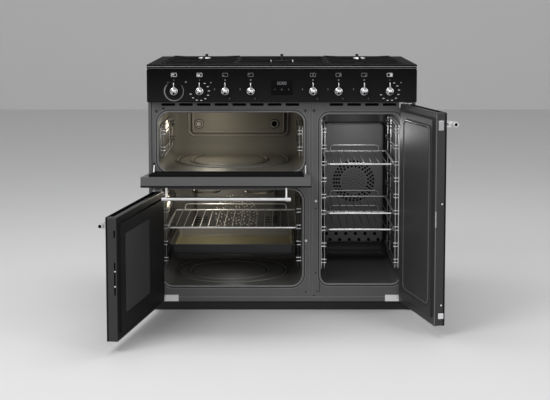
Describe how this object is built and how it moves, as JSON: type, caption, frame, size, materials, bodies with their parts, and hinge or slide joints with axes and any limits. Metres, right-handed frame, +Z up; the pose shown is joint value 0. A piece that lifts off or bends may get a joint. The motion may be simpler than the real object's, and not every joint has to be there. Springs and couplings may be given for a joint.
{
  "type": "range cooker",
  "caption": "Free-standing dual-fuel range cooker with a gas hob, a drop-down grill oven, a main oven and a tall fan oven, its doors standing open.",
  "frame": {"origin": "centre of the body's footprint, on the floor", "axes": "+X to the right seen from the front, +Y to the back, +Z up"},
  "size_m": [1.1117, 1.1243, 0.85],
  "materials": {
    "casing": "satin black",
    "galvanised": "galvanised",
    "frame_enamel": "satin enamel",
    "panel_black": "gloss black",
    "steel": "satin",
    "chrome": "bright",
    "cast_iron": "matt",
    "burner_metal": "satin",
    "burner_cap": "matt black enamel",
    "display": "gloss",
    "oven_enamel": "speckled enamel",
    "tray_enamel": "gloss enamel",
    "element": "heat stained",
    "door_enamel": "gloss black enamel",
    "door_liner": "grey enamel",
    "door_glass": "tinted",
    "brass": "satin"
  },
  "bodies": {
    "cooker": {"base_pan": "galvanised", "side_panels": "casing", "rear_panel": "galvanised", "front_frame": "frame_enamel", "plinth": "casing", "levelling_feet": "galvanised", "control_panel": "panel_black", "hob_trim": "steel", "hob_tray": "panel_black", "grate_left": "cast_iron", "grate_middle": "cast_iron", "grate_right": "cast_iron", "burner_cups": "burner_metal", "burner_spreaders": "burner_metal", "burner_caps": "burner_cap", "clock_display": "display", "grill_cavity": "oven_enamel", "main_cavity": "oven_enamel", "tall_cavity": "oven_enamel", "grill_element": "element", "roof_element": "element", "fan_ring_elements": "element", "fan_covers": "oven_enamel", "fan_motors": "galvanised", "grill_side_racks": "chrome", "main_side_racks": "chrome", "tall_side_racks": "chrome", "hinge_brackets": "steel", "gas_rail_and_switches": "brass"},
    "grill_door": {"grill_door_shell": "door_enamel", "grill_door_glass": "door_glass", "grill_door_handle": "chrome"},
    "main_door": {"main_door_shell": "door_enamel", "main_door_glass": "door_glass", "main_door_handle": "chrome"},
    "tall_door": {"tall_door_shell": "door_enamel", "tall_door_liner": "door_liner", "tall_door_handle": "chrome"},
    "knob_1_body": {"knob_1": "chrome"},
    "knob_2_body": {"knob_2": "chrome"},
    "knob_3_body": {"knob_3": "chrome"},
    "knob_4_body": {"knob_4": "chrome"},
    "knob_5_body": {"knob_5": "chrome"},
    "knob_6_body": {"knob_6": "chrome"},
    "knob_7_body": {"knob_7": "chrome"},
    "knob_8_body": {"knob_8": "chrome"},
    "spindle_3_body": {"tap_spindle_3": "steel"},
    "spindle_4_body": {"tap_spindle_4": "steel"},
    "spindle_5_body": {"tap_spindle_5": "steel"},
    "spindle_6_body": {"tap_spindle_6": "steel"},
    "spindle_7_body": {"tap_spindle_7": "steel"},
    "main_shelf_body": {"main_shelf": "chrome"},
    "deep_tray_body": {"deep_tray": "tray_enamel"},
    "tall_shelf_top_body": {"tall_shelf_top": "chrome"},
    "tall_shelf_middle_body": {"tall_shelf_middle": "chrome"},
    "tall_shelf_bottom_body": {"tall_shelf_bottom": "chrome"},
    "main_fan_body": {"main_fan": "steel"},
    "tall_fan_body": {"tall_fan": "steel"},
    "main_catch_body": {"main_door_catch": "chrome"},
    "tall_catch_body": {"tall_door_catch": "chrome"}
  },
  "joints": [
    {"name": "grill_door_hinge", "type": "hinge", "parent": "cooker", "child": "grill_door", "pos_m": [-0.177, -0.291, 0.451], "axis": [1, 0, 0], "range_deg": [-85, 0]},
    {"name": "main_door_hinge", "type": "hinge", "parent": "cooker", "child": "main_door", "pos_m": [-0.426, -0.291, 0.224], "axis": [0, 0, -1], "range_deg": [-100, 5]},
    {"name": "tall_door_hinge", "type": "hinge", "parent": "cooker", "child": "tall_door", "pos_m": [0.426, -0.291, 0.3715], "axis": [0, 0, 1], "range_deg": [-103.5, 1.5]},
    {"name": "tap_3_push", "type": "slide", "parent": "cooker", "child": "spindle_3_body", "axis": [0, 1, 0], "range_m": [0, 0.003], "stiffness_N_per_m": 600},
    {"name": "knob_3_turn", "type": "hinge", "parent": "spindle_3_body", "child": "knob_3_body", "pos_m": [-0.1885, -0.31, 0.752], "axis": [0, -1, 0], "range_deg": [0, 210]},
    {"name": "tap_4_push", "type": "slide", "parent": "cooker", "child": "spindle_4_body", "axis": [0, 1, 0], "range_m": [0, 0.003], "stiffness_N_per_m": 600},
    {"name": "knob_4_turn", "type": "hinge", "parent": "spindle_4_body", "child": "knob_4_body", "pos_m": [-0.1035, -0.31, 0.752], "axis": [0, -1, 0], "range_deg": [0, 210]},
    {"name": "tap_5_push", "type": "slide", "parent": "cooker", "child": "spindle_5_body", "axis": [0, 1, 0], "range_m": [0, 0.003], "stiffness_N_per_m": 600},
    {"name": "knob_5_turn", "type": "hinge", "parent": "spindle_5_body", "child": "knob_5_body", "pos_m": [0.1035, -0.31, 0.752], "axis": [0, -1, 0], "range_deg": [0, 210]},
    {"name": "tap_6_push", "type": "slide", "parent": "cooker", "child": "spindle_6_body", "axis": [0, 1, 0], "range_m": [0, 0.003], "stiffness_N_per_m": 600},
    {"name": "knob_6_turn", "type": "hinge", "parent": "spindle_6_body", "child": "knob_6_body", "pos_m": [0.1885, -0.31, 0.752], "axis": [0, -1, 0], "range_deg": [0, 210]},
    {"name": "tap_7_push", "type": "slide", "parent": "cooker", "child": "spindle_7_body", "axis": [0, 1, 0], "range_m": [0, 0.003], "stiffness_N_per_m": 600},
    {"name": "knob_7_turn", "type": "hinge", "parent": "spindle_7_body", "child": "knob_7_body", "pos_m": [0.2735, -0.31, 0.752], "axis": [0, -1, 0], "range_deg": [0, 210]},
    {"name": "knob_1_turn", "type": "hinge", "parent": "cooker", "child": "knob_1_body", "pos_m": [-0.3585, -0.31, 0.752], "axis": [0, 1, 0], "range_deg": [0, 300]},
    {"name": "knob_2_turn", "type": "hinge", "parent": "cooker", "child": "knob_2_body", "pos_m": [-0.2735, -0.31, 0.752], "axis": [0, 1, 0], "range_deg": [0, 300]},
    {"name": "knob_8_turn", "type": "hinge", "parent": "cooker", "child": "knob_8_body", "pos_m": [0.3585, -0.31, 0.752], "axis": [0, 1, 0], "range_deg": [0, 300]},
    {"name": "main_shelf_slide", "type": "slide", "parent": "cooker", "child": "main_shelf_body", "axis": [0, -1, 0], "range_m": [0, 0.3]},
    {"name": "deep_tray_slide", "type": "slide", "parent": "cooker", "child": "deep_tray_body", "axis": [0, -1, 0], "range_m": [0, 0.3]},
    {"name": "tall_shelf_top_slide", "type": "slide", "parent": "cooker", "child": "tall_shelf_top_body", "axis": [0, -1, 0], "range_m": [0, 0.3]},
    {"name": "tall_shelf_middle_slide", "type": "slide", "parent": "cooker", "child": "tall_shelf_middle_body", "axis": [0, -1, 0], "range_m": [0, 0.3]},
    {"name": "tall_shelf_bottom_slide", "type": "slide", "parent": "cooker", "child": "tall_shelf_bottom_body", "axis": [0, -1, 0], "range_m": [0, 0.3]},
    {"name": "main_fan_spin", "type": "hinge", "parent": "cooker", "child": "main_fan_body", "pos_m": [-0.17, 0.2025, 0.2525], "axis": [0, 1, 0], "continuous": true},
    {"name": "tall_fan_spin", "type": "hinge", "parent": "cooker", "child": "tall_fan_body", "pos_m": [0.267, 0.2025, 0.382], "axis": [0, 1, 0], "continuous": true},
    {"name": "main_catch_spring", "type": "slide", "parent": "cooker", "child": "main_catch_body", "axis": [0, 1, 0], "range_m": [0, 0.004], "stiffness_N_per_m": 800},
    {"name": "tall_catch_spring", "type": "slide", "parent": "cooker", "child": "tall_catch_body", "axis": [0, 1, 0], "range_m": [0, 0.004], "stiffness_N_per_m": 800}
  ]
}
